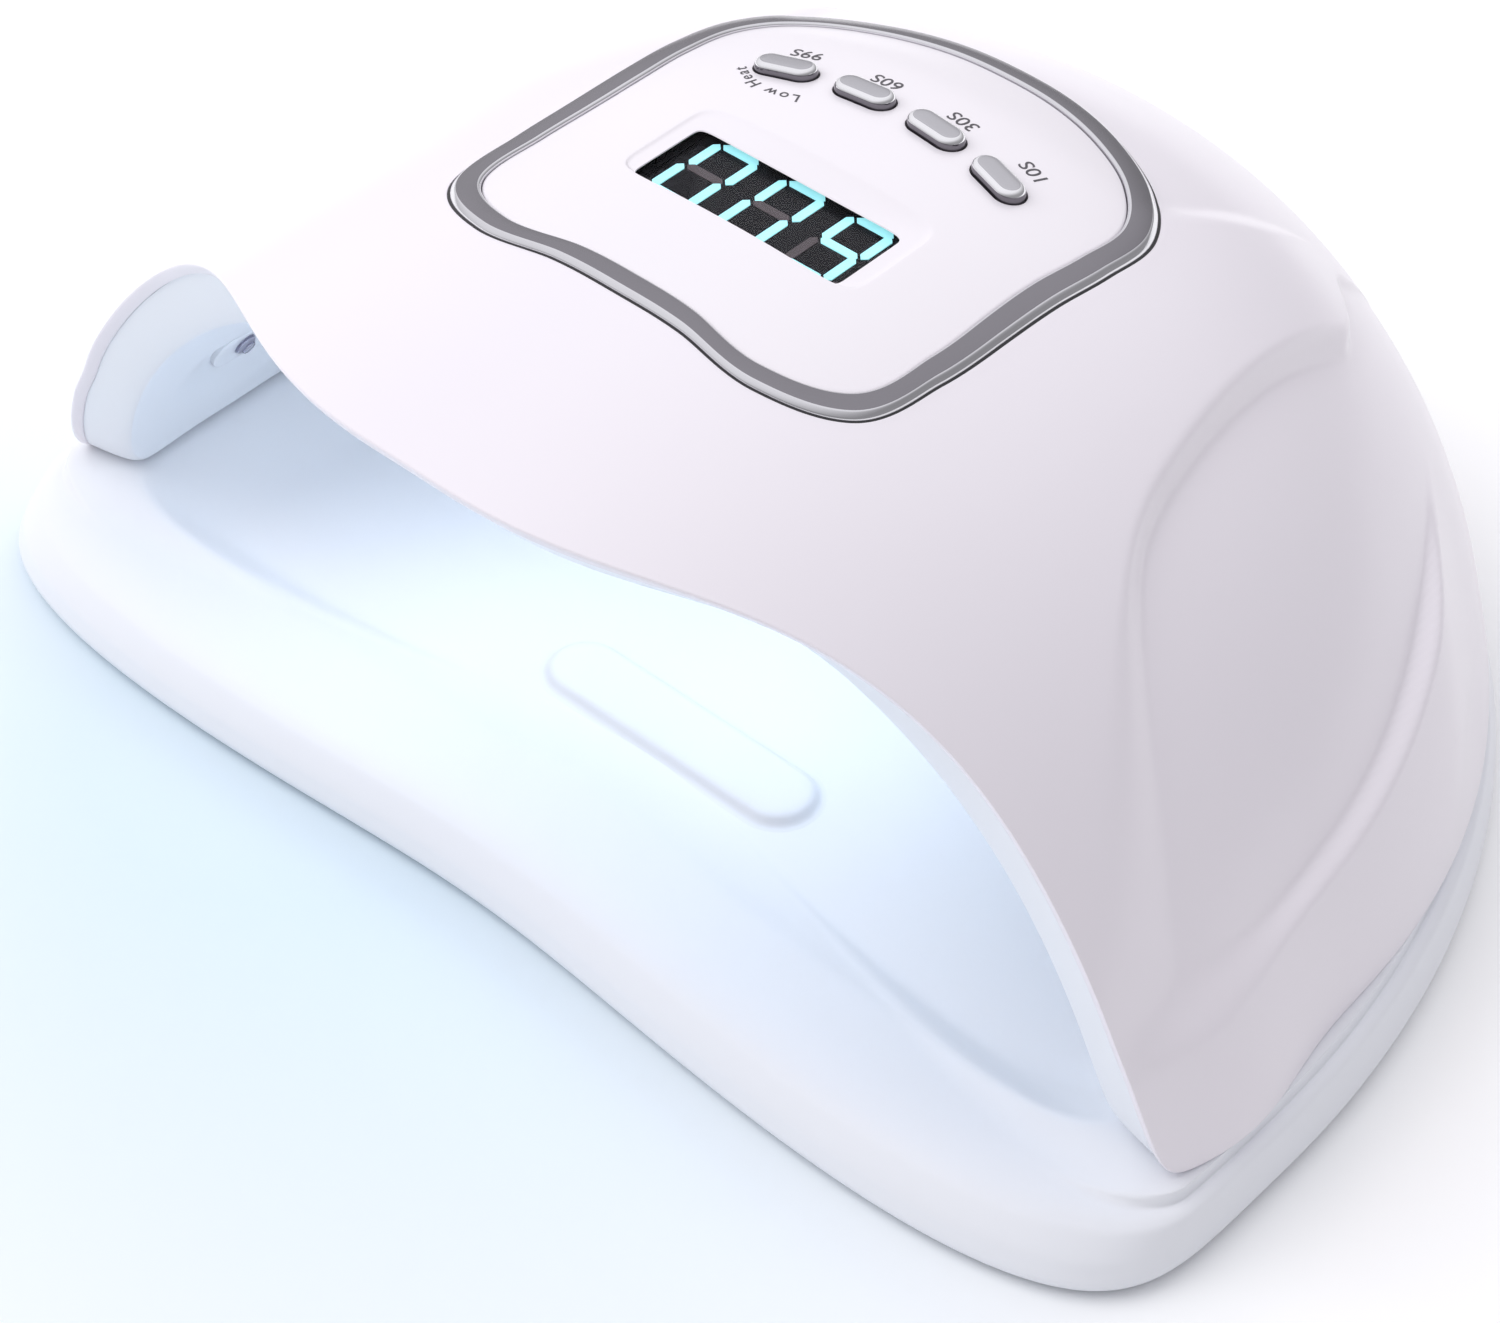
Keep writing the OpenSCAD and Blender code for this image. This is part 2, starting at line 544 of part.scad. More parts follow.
// ---- tray -------------------------------------------------------------------------------
TRAY_Y = -45;
TRAY_DIP = 4.3;
function tray_xy(a, d) =
    let(front = sin(a) < 0, n = front ? 5.2 : 2.05, w = tray_half_w - d, l = (front ? tray_front : tray_back) - d,
        r = pow(pow(abs(cos(a)) / w, n) + pow(abs(sin(a)) / l, n), -1 / n), x = r * cos(a))
    [x, TRAY_Y + r * sin(a) + (front ? TRAY_DIP * -sin(a) * pow(cos(min(90, 0.95 * abs(x))), 2) : 0)];
// Section of the tray: [inset at the sides, height there, inset at the front, height there]
TRAY_SECTION = [[36, 5, 40, 5], [30, 5.2, 36, 5.1], [21, 9.6, 29, 6.4], [16.2, 12, 24, 7.8], [4.4, 12, 16, 9.2],
    [3.9, 11.7, 13, 9.7], [3.6, 9.9, 9.5, 10], [2.7, 9.8, 6.6, 9.8], [1.3, 8.8, 3.8, 8.6],
    [0.4, 6.2, 1.6, 6.2], [0, 3, 0.2, 2.8], [0.9, 1.2, 0.9, 1.2], [4, 0.8, 4, 0.8]];
module base_tray() {
    corner = [-9, -12, -15, -17, -19, -21, -23, -25, -28];
    angles = concat([for (a = corner) -180 - a], [for (a = [-145:10:-35]) a],
        [for (i = [len(corner) - 1:-1:0]) corner[i]], [for (i = [0:37]) -4 + 188 * i / 37]);
    function row(q) = [for (a = angles) let(w = ease(9, 17, -asin(sin(a))), xy = tray_xy(a, mix(q[0], q[2], w)),
        z = mix(q[1], q[3], w)) [xy[0], xy[1], z + (z > 4 ? (rim_z - 12) * ease(9, 12, z) + (floor_z - 5) * ease(6, 5, z) : 0)]];
    color(WHITE) difference() {
        union() {
            skin([for (q = TRAY_SECTION) row(q)]);
            hull() for (s = [-1, 1]) translate([20 * s, -40.5, floor_z - 0.5]) cylinder(r1 = 6, r2 = 4.3, h = 2.1, $fn = 32);
        }
        for (a = MAGNETS) translate(rim_point(a)) translate([0, 0, -2.1]) cylinder(r = 2.6, h = 4);
    }
}
module tray_magnets() {
    color(STEEL) for (a = MAGNETS) translate(rim_point(a)) translate([0, 0, -2.1]) cylinder(r = 2.5, h = 2);
}
module rubber_feet() {
    color(RUBBER) for (a = [-18, 198, 48, 132, 90]) let(xy = tray_xy(a, 16))
        translate([xy[0], xy[1], 0]) cylinder(r = 6, h = 0.8);
}

base_tray();
rubber_feet();
tray_magnets();
hood_shell();
inner_liner();
chrome_ring();
control_panel();
display_window();
display_module();
segments_lit();
segments_dark();
control_board();
board_chips();
board_standoffs();
board_screws();
switch_bodies();
buzzer();
led_board_top();
top_standoffs();
led_beads_top();
led_cup_left();
led_cup_right();
led_board_left();
led_board_right();
led_beads_left();
led_beads_right();
sensor_eye();
driver_board();
driver_chokes();
driver_capacitors();
driver_standoffs();
dc_jack();
dc_jack_pin();
dc_jack_nut();
screw_posts();
liner_screws();
hood_magnets();
ribbon_cable();
inlet_wires();
side_wires();
button_10s();
button_30s();
button_60s();
button_99s();
plunger_10s();
plunger_30s();
plunger_60s();
plunger_99s();
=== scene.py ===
import math

import bmesh
import bpy
import numpy as np
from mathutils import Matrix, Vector


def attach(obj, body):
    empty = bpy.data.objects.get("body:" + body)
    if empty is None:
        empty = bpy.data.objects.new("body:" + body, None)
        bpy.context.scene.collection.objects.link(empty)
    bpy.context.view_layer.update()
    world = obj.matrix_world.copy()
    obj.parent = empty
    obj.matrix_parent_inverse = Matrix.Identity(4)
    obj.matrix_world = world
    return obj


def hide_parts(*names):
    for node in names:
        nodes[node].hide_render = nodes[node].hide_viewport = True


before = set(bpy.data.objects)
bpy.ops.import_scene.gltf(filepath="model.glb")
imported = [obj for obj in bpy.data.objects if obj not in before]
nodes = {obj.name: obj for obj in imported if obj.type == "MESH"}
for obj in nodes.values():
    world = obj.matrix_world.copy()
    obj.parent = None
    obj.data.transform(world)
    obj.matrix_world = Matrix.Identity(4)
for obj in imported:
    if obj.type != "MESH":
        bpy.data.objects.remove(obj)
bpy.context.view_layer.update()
scene = bpy.context.scene
MM = 0.001

# ---------------------------------------------------------------- camera
camera_data = bpy.data.cameras.new("camera")
camera_data.sensor_width = 36
camera_data.lens = 92.4
camera_data.clip_start = 0.02
camera = bpy.data.objects.new("camera", camera_data)
scene.collection.objects.link(camera)
camera.location = Vector((288.39, -340.34, 416.53)) * MM
aim = Vector((21.9, -48.8, 40.0)) * MM - camera.location
camera.rotation_euler = aim.to_track_quat("-Z", "Y").to_euler()
scene.camera = camera


# ---------------------------------------------------------------- materials
class Nodes:
    """A material's node tree with short calls to add and join nodes."""

    def __init__(self, name):
        self.material = bpy.data.materials.new(name)
        self.material.use_nodes = True
        self.tree = self.material.node_tree
        self.bsdf = self.tree.nodes["Principled BSDF"]
        self.place = self.add("ShaderNodeTexCoord").outputs["Object"]

    def add(self, kind, inputs=None, **settings):
        node = self.tree.nodes.new(kind)
        for key, value in settings.items():
            setattr(node, key, value)
        for key, value in (inputs or {}).items():
            if isinstance(value, bpy.types.NodeSocket):
                self.tree.links.new(value, node.inputs[key])
            else:
                node.inputs[key].default_value = value
        return node

    def noise(self, scale, detail=2.0, stretch=(1, 1, 1), rough=0.5):
        mapped = self.add("ShaderNodeMapping", {"Vector": self.place, "Scale": stretch})
        return self.add("ShaderNodeTexNoise", {
            "Vector": mapped.outputs["Vector"], "Scale": scale, "Detail": detail, "Roughness": rough,
        }).outputs["Fac"]

    def ramp(self, value, stops):
        node = self.add("ShaderNodeValToRGB", {"Fac": value})
        marks = node.color_ramp.elements
        while len(marks) < len(stops):
            marks.new(0.5)
        for mark, (place, colour) in zip(marks, stops):
            mark.position = place
            mark.color = (*colour, 1)
        return node.outputs["Color"]

    def span(self, value, low, high):
        return self.add("ShaderNodeMapRange", {"Value": value, "To Min": low, "To Max": high}).outputs["Result"]

    def bump(self, value, strength, distance, under=None):
        inputs = {"Height": value, "Strength": strength, "Distance": distance}
        if under is not None:
            inputs["Normal"] = under
        return self.add("ShaderNodeBump", inputs).outputs["Normal"]

    def put(self, **sockets):
        for key, value in sockets.items():
            socket = self.bsdf.inputs[key.replace("_", " ")]
            if isinstance(value, bpy.types.NodeSocket):
                self.tree.links.new(value, socket)
            else:
                socket.default_value = value
        return self.material


def moulded(name, colour, rough, gloss=0.0, grain=0.012, tint=0.02, shine=0.5):
    """Moulded plastic: slow colour drift, fine mould grain and a little orange peel."""
    n = Nodes(name)
    drift = n.noise(9, 2)
    low = tuple(c * (1 - tint) for c in colour)
    high = tuple(min(1, c * (1 + 0.4 * tint)) for c in colour)
    peel = n.bump(n.noise(420, 2), 0.05, 0.00012)
    pores = n.bump(n.noise(5200, 1), grain, 0.00004, peel)
    n.put(Base_Color=n.ramp(drift, [(0.3, low), (0.7, high)]),
          Roughness=n.span(n.noise(60, 3), rough * 0.88, rough * 1.12), Normal=pores,
          Coat_Weight=gloss, Coat_Roughness=0.16, Specular_IOR_Level=shine)
    return n.material


def metal(name, colour, rough, brush=0.0, stretch=(1, 1, 1), fine=900):
    """Plated or turned metal: faint tarnish and, with brush, long fine lines."""
    n = Nodes(name)
    drift = n.noise(30, 3)
    low = tuple(c * 0.93 for c in colour)
    lines = n.noise(fine, 2, stretch)
    n.put(Metallic=1.0, Base_Color=n.ramp(drift, [(0.3, low), (0.7, colour)]),
          Roughness=n.span(lines, rough * 0.75, rough * 1.3),
          Normal=n.bump(lines, brush, 0.00003))
    return n.material


def clear(name, colour, rough=0.03, through=1.0, ior=1.49):
    """Clear moulded lens or window with a very faint surface ripple."""
    n = Nodes(name)
    low = tuple(c * 0.95 for c in colour)
    n.put(Base_Color=n.ramp(n.noise(80, 2), [(0.3, low), (0.7, colour)]),
          Roughness=n.span(n.noise(300, 2), rough * 0.7, rough * 1.4), Transmission_Weight=through,
          IOR=ior, Normal=n.bump(n.noise(500, 2), 0.02, 0.00003))
    return n.material


def lit(name, colour, glow, strength):
    n = Nodes(name)
    cells = n.noise(700, 2)
    dim = tuple(c * 0.9 for c in glow)
    n.put(Base_Color=n.ramp(cells, [(0.3, tuple(c * 0.9 for c in colour)), (0.7, colour)]),
          Emission_Color=n.ramp(cells, [(0.3, dim), (0.75, glow)]), Emission_Strength=strength,
          Roughness=n.span(cells, 0.3, 0.5))
    return n.material


def laminate(name, colour):
    """Solder mask over a circuit board: fine weave with faint tracks."""
    n = Nodes(name)
    weave = n.add("ShaderNodeTexBrick", {
        "Vector": n.place, "Scale": 620.0, "Mortar Size": 0.12,
        "Color1": (*colour, 1), "Color2": (*[c * 0.8 for c in colour], 1),
        "Mortar": (*[c * 1.35 for c in colour], 1)})
    n.put(Base_Color=weave.outputs["Color"], Roughness=n.span(n.noise(90, 2), 0.32, 0.5),
          Normal=n.bump(weave.outputs["Fac"], 0.15, 0.00004))
    return n.material


WHITE = moulded("abs_white", (0.850, 0.812, 0.862), 0.32, gloss=0.35, tint=0.006)
PANEL = moulded("abs_panel", (0.855, 0.822, 0.862), 0.30, gloss=0.35, tint=0.006)
TRAY = moulded("abs_tray", (0.845, 0.862, 0.905), 0.38, gloss=0.15, tint=0.006)
LINER = moulded("liner_white", (0.84, 0.870, 0.920), 0.42, gloss=0.1, tint=0.006)
# one chrome for the ring in two copies: a darker one for its flat band (painted shade) and a brighter one for its
# bevels (painted highlight)
RING_FLAT_PAINTED_SHADE = metal("ring_flat_painted_shade", (0.29, 0.28, 0.30), 0.2, 0.03)
RING_BEVEL_PAINTED_HIGHLIGHT = metal("ring_bevel_painted_highlight", (0.80, 0.80, 0.82), 0.09, 0.01)
# one chrome for the keys in three copies: plain for the top, near-white for the rounded shoulder (painted
# highlight), dark for the sides (painted dark reflection)
KEY = metal("key_chrome", (0.60, 0.595, 0.62), 0.16, 0.02)
KEY_BEVEL_PAINTED_HIGHLIGHT = metal("key_bevel_painted_highlight", (0.96, 0.96, 0.97), 0.08)
KEY_SIDE_PAINTED_SHADE = metal("key_side_painted_shade", (0.22, 0.21, 0.23), 0.16, 0.02)
INK = moulded("label_ink", (0.085, 0.08, 0.09), 0.5)
RUBBER = moulded("foot_rubber", (0.045, 0.045, 0.048), 0.72, grain=0.3, tint=0.15)
BLACK = moulded("epoxy_black", (0.022, 0.022, 0.024), 0.42, grain=0.1, tint=0.1)
FACE = moulded("display_face", (0.014, 0.014, 0.017), 0.5, tint=0.1, shine=0.1)
DARK = moulded("segment_unlit", (0.15, 0.128, 0.134), 0.5, tint=0.08, shine=0.1)
WINDOW = clear("window_smoked", (0.90, 0.90, 0.92), 0.02, ior=1.10)
LENS = clear("lamp_lens", (0.86, 0.84, 0.98), 0.05)
SENSOR = clear("sensor_lens", (0.16, 0.07, 0.10), 0.06, 0.5)
CYAN = lit("segment_lit", (0.40, 0.80, 0.84), (0.36, 0.86, 0.90), 0.85)
GREEN = laminate("board_green", (0.030, 0.135, 0.065))
ALBOARD = laminate("board_white", (0.62, 0.62, 0.58))
BRASS = metal("brass", (0.72, 0.52, 0.22), 0.26, 0.05)
STEEL = metal("zinc_steel", (0.52, 0.53, 0.55), 0.28, 0.10, (1, 14, 1))
NICKEL = metal("nickel", (0.60, 0.58, 0.55), 0.16, 0.02)
FERRITE = moulded("ferrite", (0.06, 0.06, 0.065), 0.6, grain=0.5, tint=0.25)
SLEEVE = moulded("capacitor_sleeve", (0.02, 0.03, 0.07), 0.3, gloss=0.4, tint=0.1)
VINYL = moulded("ribbon_vinyl", (0.42, 0.42, 0.44), 0.45, tint=0.08)
RED = moulded("wire_red", (0.42, 0.02, 0.02), 0.42, tint=0.1)
PALE = moulded("wire_white", (0.72, 0.72, 0.74), 0.42, tint=0.06)
CREAM = moulded("nylon_cream", (0.72, 0.70, 0.64), 0.4, tint=0.05)


# ---------------------------------------------------------------- mesh helpers
def finish_mesh(name, bm, material, body, replaces=(), sharp=40):
    data = bpy.data.meshes.new(name)
    bm.to_mesh(data)
    bm.free()
    data.shade_smooth()
    data.set_sharp_from_angle(angle=math.radians(sharp))
    for m in material if isinstance(material, (list, tuple)) else [material]:
        data.materials.append(m)
    piece = bpy.data.objects.new(name, data)
    scene.collection.objects.link(piece)
    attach(piece, body)
    if replaces:
        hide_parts(*replaces)
    return piece


def loft(rows, closed=False):
    """Mesh over rows of points, in millimetres, that each run once round."""
    rows = [np.asarray(r, float) for r in rows]
    n, m = len(rows[0]), len(rows)
    points = np.concatenate(rows)
    faces = []
    for j in range(m if closed else m - 1):
        k = (j + 1) % m
        for i in range(n):
            h = (i + 1) % n
            faces.append((j * n + i, j * n + h, k * n + h, k * n + i))
    if not closed:
        for row, turn in ((0, 1), (m - 1, 0)):
            middle = len(points)
            points = np.vstack([points, rows[row].mean(axis=0)])
            for i in range(n):
                a, b = row * n + i, row * n + (i + 1) % n
                faces.append((middle, b, a) if turn else (middle, a, b))
    mesh = bpy.data.meshes.new("loft")
    mesh.from_pydata((points * MM).tolist(), [], faces)
    bm = bmesh.new()
    bm.from_mesh(mesh)
    bpy.data.meshes.remove(mesh)
    bmesh.ops.recalc_face_normals(bm, faces=bm.faces)
    return bm


def paint_rows(piece, n, first, last, index):
    """Gives the bands between rows first and last of a loft, n faces each, another material."""
    for i in range(first * n, last * n):
        piece.data.polygons[i].material_index = index


def ease(a, b, x):
    w = np.clip((x - a) / (b - a), 0, 1)
    return w * w * (3 - 2 * w)


def mix(a, b, w):
    return a * (1 - w) + b * w


def cubic(p, q, r, s, w):
    """The smooth curve through four values, w of the way from q to r."""
    return q + 0.5 * w * (r - p + w * (2 * p - 5 * q + 4 * r - s + w * (3 * (q - r) + s - p)))


# ---------------------------------------------------------------- hood and liner surfaces
RIM_Z, WALL, LINER_WALL = 12.0, 2.2, 1.6
DOME_Y, LEAN = -22.9, 10.7
HOOD = np.array([110.5, 178.0, 111.0, 95.5])
LINING = np.array([101.0, 168.0, 92.0, 69.0])
DISH = 3.0
LIP = 0.29


# A dome's sizes are [half width, length in front, length behind, top]. A point on a dome is
# named by a place (u, v) on a unit disk, and d moves the dome outward.
def dome_r(a, s, d):
    front = np.sin(a) < 0
    n = np.where(front, 2.4, 2.0)
    depth = np.where(front, s[1], s[2]) + d
    return ((np.abs(np.cos(a)) / (s[0] + d)) ** n + (np.abs(np.sin(a)) / depth) ** n) ** (-1 / n)


def dome_h(rho):
    return np.maximum(0, 1 - rho ** 2.3) ** 0.61


def dome(p, s, d=0.0, raised=0.0):
    a = np.arctan2(p[..., 1], p[..., 0])
    rho = np.sin(np.pi / 2 * np.minimum(1, np.hypot(p[..., 0], p[..., 1])))
    h = dome_h(rho)
    r = dome_r(a, s, d) * rho
    top = s[3] + d + raised
    return np.stack([r * np.cos(a), DOME_Y + LEAN * h + r * np.sin(a), RIM_Z + (top - RIM_Z) * h], -1)


def disk_at(xy, s, d=0.0):
    """The disk place of the dome's point over a plan place."""
    h = np.full(xy.shape[:-1], 0.9)
    for _ in range(9):
        dy = xy[..., 1] - DOME_Y - LEAN * h
        a = np.arctan2(dy, xy[..., 0])
        rho = np.minimum(1, np.hypot(xy[..., 0], dy) / dome_r(a, s, d))
        h = dome_h(rho)
    return (np.arcsin(rho) / (np.pi / 2))[..., None] * np.stack([np.cos(a), np.sin(a)], -1)


def dish(u, v):
    """Depth of the side dish, with the lower back behind the shoulder of the front band."""
    a = np.abs(u)
    bend = np.where(v < 0, 1.6, 0.55)
    crease = 0.405 - 0.27 * v + bend * v * v
    tip = ease(0.34, 0.46, v)
    start = mix(crease, 0.30, tip)
    soft = mix(0.026, 0.20, ease(0.05, 0.3, -v))
    inner = ease(start - 0.005, start + soft, a)
    edge = 0.788 - 1.02 * (v + 0.09) ** 2
    blur = 0.022 * (1 - ease(-0.25, -0.05, v))
    outer = ease(edge - 0.008 - blur, edge + 0.014 + blur, a) * (1 - ease(0.25, 0.45, v))
    rear = ease(0.17, 0.26, v) * (1 - ease(-0.02, 0.01, a - 0.155 - 0.297 * v))
    depth = mix(0.7, 1, ease(-0.25, 0.3, v)) * mix(1, 0.35, ease(0.25, 0.6, v)) * DISH
    fade = 1 - ease(0.86, 1, np.hypot(u, v))
    return np.maximum(depth * inner * (1 - outer), 0.3 * DISH * np.maximum(rear, tip)) * fade


def hood(p, d=0.0):
    """Point of the hood at a disk place, d below its outside."""
    a = dome(p, HOOD, -d)
    b = dome(p, HOOD, -d - 1)
    inward = (b - a) / np.linalg.norm(b - a, axis=-1, keepdims=True)
    lift = 3.8 * np.exp(-(a[..., 0] / 80) ** 4) * ease(-20, -78, a[..., 1])
    low = ((a[..., 2] - RIM_Z) / 22) ** 2
    flare = 4.3 * np.exp(-((a[..., 1] + 50) / 17) ** 2 - low)
    out = a + dish(p[..., 0], p[..., 1])[..., None] * inward
    out[..., 0] += np.sign(a[..., 0]) * flare
    out[..., 2] += lift
    return out


def under(xy, depth):
    """Point at a plan place and a depth below the outside of the hood."""
    xy = np.asarray(xy, float)
    return np.concatenate([xy, hood(disk_at(xy, HOOD))[..., 2:] - depth], -1)


def liner(p, d=0.0):
    """Point of the liner, d outside the cavity. Its ceiling flares at the mouth."""
    return dome(p, LINING, d, 14 * ease(-0.12, -0.27, p[..., 1]))


def cut_at(a, chord):
    """The mouth: a chord across the front of the disk, rounded into the rim at the feet."""
    s, c = np.sin(a), np.cos(a)
    reach = chord + 0.4 * np.abs(c) ** 24
    k = np.where(s < 0, (1 + (np.maximum(-s, 0) / reach) ** 15) ** (-1 / 15), 1.0)
    return k[..., None] * np.stack([c, s], -1)


def edge_angles(front_n, back_n):
    """Angles round the disk, close together along the mouth and near the feet."""
    front = np.arctan2(-0.26, 0.97 * (2 * np.arange(front_n) / front_n - 1))
    back = np.radians(-15 + 210 * np.arange(back_n) / back_n)
    return np.concatenate([front, back])


# radius of the ring about RING_Y at every 15 degrees from its front to its back
RING_Y, RING_W = -8.0, 4.5
RING = np.array([43.2, 44.9, 51.2, 53.4, 46.6, 42.1, 40.8, 42.6, 46, 46.2, 44.9, 43.7, 42.9])


def ring_xy(a, inset=0.0):
    w = np.abs((np.degrees(a) + 630) % 360 - 180) / 15
    i = np.floor(w).astype(int)
    w = w - i

    def at(k):
        j = np.abs(k)
        return RING[np.where(j > 12, 24 - j, j)]

    radius = cubic(at(i - 1), at(i), at(i + 1), at(i + 2), w) - inset
    return np.stack([radius * np.cos(a), RING_Y + radius * np.sin(a)], -1)


def pill(length, width, n=40):
    t = np.linspace(-np.pi / 2, np.pi / 2, n // 2)
    r, x = width / 2, (length - width) / 2
    right = np.stack([x + r * np.cos(t), r * np.sin(t)], -1)
    return np.concatenate([right, -right])


# ---------------------------------------------------------------- hood shell
def hood_piece():
    a = edge_angles(260, 380)
    end = cut_at(a, LIP)

    def span(d, w, inset=-0.6):
        start = disk_at(ring_xy(a, inset), HOOD, -d)
        return hood(mix(start, end, w), d)

    def seat(inset, depth):
        return under(ring_xy(a, inset), depth)

    roll = np.radians(np.linspace(15, 90, 6))
    rows = [seat(-0.3, 0.45), seat(-0.36, 0.16), seat(-0.44, 0.04)]
    rows += [span(0, w) for w in np.linspace(0, 0.99, 150)]
    rows += [span(1 - math.cos(t), 1 - 0.01 * (1 - math.sin(t))) for t in roll]
    rows += [span(WALL - 0.4 * (1 - math.cos(t)), 1 - 0.004 * (1 - math.sin(t))) for t in roll[::-2]]
    rows += [span(WALL, w, -2.5) for w in np.linspace(0.995, 0, 24)]
    rows += [seat(-2.5, 4.7), seat(RING_W + 2.5, 4.7), seat(RING_W + 2.5, 3.1), seat(-0.3, 3.1)]
    finish_mesh("hood_skin", loft(rows, closed=True), WHITE, "hood", ["hood_shell"])


hood_piece()


# ---------------------------------------------------------------- liner
# middle of the side pocket on the right, the way out of the cavity, and the way up the wall
POCKET = np.array([96, -38, 25.0])
OUTWARD = np.array([math.sin(math.radians(66)), 0, math.cos(math.radians(66))])
UPWARD = np.array([-OUTWARD[2], 0, OUTWARD[0]])
POCKET_DEPTH = 2.2


def dimpled(row):
    """The row with the soft pockets of the two side walls pressed into it."""
    side = np.where(row[:, :1] < 0, -1, 1) * np.array([1, 0, 0]) + np.array([0, 1, 1])
    q = row * side - POCKET
    reach = np.hypot(q[:, 1] / 17, (q @ UPWARD) / 10)
    press = POCKET_DEPTH * (1 - ease(0.3, 1.0, reach)) * (np.abs(q @ OUTWARD) < 9)
    return row + press[:, None] * OUTWARD * side


# where the ceiling turns into the brim, and how much further in its back face turns
TURN, BACKSET = 0.97, 0.031


def liner_piece():
    a = edge_angles(220, 300)
    liner_lip = mix(0.268, 0.305, ease(0.6, 0.93, np.abs(np.cos(a))))
    edge, wall = cut_at(a, liner_lip), cut_at(a, LIP)
    far = np.hypot(wall[:, 0], wall[:, 1])
    set_in = 0.007 * (1 - ease(0.93, 1, far))

    def flare(back, w):
        shrink = 1 - BACKSET * back
        lip = hood(wall * (1 - set_in - 0.022 * back)[:, None], WALL + 0.05)
        start = liner(edge * TURN * shrink, LINER_WALL * back)
        corner = liner(edge * shrink, LINER_WALL * back)
        return (1 - w) ** 2 * start + 2 * w * (1 - w) * corner + w * w * lip

    rows = [liner(edge * TURN * w) for w in np.sqrt(np.linspace(0.0004, 1, 60))[:-1]]
    rows += [flare(0, w) for w in np.linspace(0, 1, 26)]
    rows += [flare(1, w) for w in np.linspace(1, 0, 12)]
    rows += [liner(edge * TURN * (1 - BACKSET) * w, LINER_WALL) for w in np.sqrt(np.linspace(1, 0.0004, 24))[1:]]
    rows = [dimpled(r) for r in rows]
    finish_mesh("liner_skin", loft(rows), LINER, "hood", ["inner_liner"])


liner_piece()


def pocket_piece(name, side):
    """The lamp seat at the bottom of a side pocket: an oval plate with a round hole."""
    base = POCKET + 2.5 * OUTWARD

    def ring(length, width, z):
        p = pill(length, width)
        q = base + p[:, :1] * np.array([0, 1, 0]) + p[:, 1:] * UPWARD - z * OUTWARD
        return q * np.array([side, 1, 1])

    sizes = ((13, 7, -1), (13, 7, 0), (12.6, 6.6, 0.16), (12, 6, 0.24),
             (4.5, 4.5, 0.26), (4.2, 4.2, 0.16), (4.1, 4.1, 0), (4.1, 4.1, -1))
    rows = [ring(*size) for size in sizes]
    finish_mesh(name, loft(rows, closed=True), LINER, "hood", ["led_cup_" + name[7:]], 50)


pocket_piece("pocket_right", 1)
pocket_piece("pocket_left", -1)


# ---------------------------------------------------------------- ring
def ring_piece():
    a = np.radians(np.arange(0, 360, 0.75))
    # (inset from the outline, depth below the hood), once round
    section = [(0, 3), (0, 0.1), (0.05, -0.12), (0.16, -0.3), (0.62, -0.74), (0.74, -0.82),
               (0.88, -0.85), (2.4, -0.80), (3.9, -0.62), (4.05, -0.58), (4.16, -0.5),
               (4.3, -0.34), (4.38, -0.2), (4.42, 0), (4.42, 3)]
    bm = loft([under(ring_xy(a, inset), depth) for inset, depth in section], closed=True)
    piece = finish_mesh("trim_ring", bm, [RING_BEVEL_PAINTED_HIGHLIGHT, RING_FLAT_PAINTED_SHADE], "hood", ["chrome_ring"], 60)
    # the flat band, rows 6 to 8, takes the darker chrome (painted shade); the bevels take the brighter chrome
    # (painted highlight)
    paint_rows(piece, len(a), 6, 8, 1)


def ring_gap_shade_piece():
    """A black strip down in the gap between the hood and the ring: painted shade of the gap."""
    a = np.radians(np.arange(0, 360, 1.0))
    section = [(-0.34, 0.12), (0.03, 0.10), (0.03, 0.9), (-0.34, 0.9)]
    bm = loft([under(ring_xy(a, inset), depth) for inset, depth in section], closed=True)
    finish_mesh("ring_gap_painted_shade", bm, BLACK, "hood")


ring_piece()
ring_gap_shade_piece()


# ---------------------------------------------------------------- panel
WINDOW_Z = 93.9


def box_outline(a, hx, y0, y1, n):
    cy, hy = (y0 + y1) / 2, (y1 - y0) / 2
    c, s = np.cos(a), np.sin(a)
    r = (np.abs(c / hx) ** n + np.abs(s / hy) ** n) ** (-1 / n)
    return np.stack([r * c, cy + r * s], -1)


BUTTONS = {"10s": (20, 4.8, -15), "30s": (6.7, 6.9, -5), "60s": (-6.7, 6.9, 5), "99s": (-20, 4.8, 15)}


def pill_rows(place, sizes):
    """Pill outlines [(length, width, height over the panel)] standing on the panel at a button."""
    x, y, turn = place
    top = under([x, y], 0)
    sx, sy = under([x + 1, y], 0)[2] - top[2], under([x, y + 1], 0)[2] - top[2]
    c, s = math.cos(math.radians(turn)), math.sin(math.radians(turn))
    rows = []
    for length, width, z in sizes:
        p = pill(length, width)
        q = np.stack([p[:, 0] * c - p[:, 1] * s, p[:, 0] * s + p[:, 1] * c], -1)
        rows.append(np.column_stack([x + q[:, 0], y + q[:, 1], top[2] + z + sx * q[:, 0] + sy * q[:, 1]]))
    return rows


